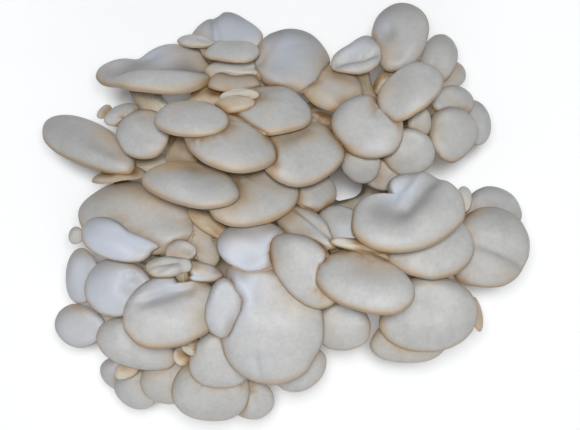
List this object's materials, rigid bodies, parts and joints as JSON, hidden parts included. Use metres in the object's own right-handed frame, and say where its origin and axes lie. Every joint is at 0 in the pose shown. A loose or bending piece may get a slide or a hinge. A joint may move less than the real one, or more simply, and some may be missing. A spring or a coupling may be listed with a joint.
{
  "type": "oyster mushroom cluster",
  "caption": "Crowded cluster of pale oyster mushrooms: overlapping shell-shaped caps on short stems that grow from one fused base, cut flat beneath.",
  "frame": {"origin": "middle of the flat cut face under the fused base", "axes": "+Z out of the cut, towards the caps; +X along the cluster's longest way; +Y the way the upper caps lean"},
  "size_m": [0.3634, 0.3073, 0.2096],
  "materials": {
    "mushroom_flesh": "smooth satin skin, pale grey, tan towards the rims",
    "base_flesh": "matte fibrous flesh"
  },
  "bodies": {
    "root": {"upper_left_mushroom_01": "mushroom_flesh", "upper_left_mushroom_02": "mushroom_flesh", "upper_left_mushroom_03": "mushroom_flesh", "upper_left_mushroom_04": "mushroom_flesh", "upper_left_mushroom_05": "mushroom_flesh", "upper_left_mushroom_06": "mushroom_flesh", "upper_left_mushroom_07": "mushroom_flesh", "upper_left_mushroom_08": "mushroom_flesh", "upper_left_mushroom_09": "mushroom_flesh", "upper_left_mushroom_10": "mushroom_flesh", "upper_left_mushroom_11": "mushroom_flesh", "upper_left_mushroom_12": "mushroom_flesh", "upper_left_mushroom_13": "mushroom_flesh", "upper_left_mushroom_14": "mushroom_flesh", "upper_left_mushroom_15": "mushroom_flesh", "upper_left_mushroom_16": "mushroom_flesh", "upper_right_mushroom_01": "mushroom_flesh", "upper_right_mushroom_02": "mushroom_flesh", "upper_right_mushroom_03": "mushroom_flesh", "upper_right_mushroom_04": "mushroom_flesh", "upper_right_mushroom_05": "mushroom_flesh", "upper_right_mushroom_06": "mushroom_flesh", "upper_right_mushroom_07": "mushroom_flesh", "upper_right_mushroom_08": "mushroom_flesh", "upper_right_mushroom_09": "mushroom_flesh", "upper_right_mushroom_10": "mushroom_flesh", "upper_right_mushroom_11": "mushroom_flesh", "upper_right_mushroom_12": "mushroom_flesh", "upper_right_mushroom_13": "mushroom_flesh", "right_mushroom_01": "mushroom_flesh", "right_mushroom_02": "mushroom_flesh", "right_mushroom_03": "mushroom_flesh", "right_mushroom_04": "mushroom_flesh", "right_mushroom_05": "mushroom_flesh", "right_mushroom_06": "mushroom_flesh", "right_mushroom_07": "mushroom_flesh", "right_mushroom_08": "mushroom_flesh", "right_mushroom_09": "mushroom_flesh", "right_mushroom_10": "mushroom_flesh", "right_mushroom_11": "mushroom_flesh", "lower_left_mushroom_01": "mushroom_flesh", "lower_left_mushroom_02": "mushroom_flesh", "lower_left_mushroom_03": "mushroom_flesh", "lower_left_mushroom_04": "mushroom_flesh", "lower_left_mushroom_05": "mushroom_flesh", "lower_left_mushroom_06": "mushroom_flesh", "lower_left_mushroom_07": "mushroom_flesh", "lower_left_mushroom_08": "mushroom_flesh", "lower_left_mushroom_09": "mushroom_flesh", "lower_left_mushroom_10": "mushroom_flesh", "lower_left_mushroom_11": "mushroom_flesh", "lower_left_mushroom_12": "mushroom_flesh", "lower_left_mushroom_13": "mushroom_flesh", "lower_middle_mushroom_01": "mushroom_flesh", "lower_middle_mushroom_02": "mushroom_flesh", "lower_middle_mushroom_03": "mushroom_flesh", "lower_middle_mushroom_04": "mushroom_flesh", "lower_middle_mushroom_05": "mushroom_flesh", "lower_middle_mushroom_06": "mushroom_flesh", "stem_base": "base_flesh"}
  },
  "joints": []
}
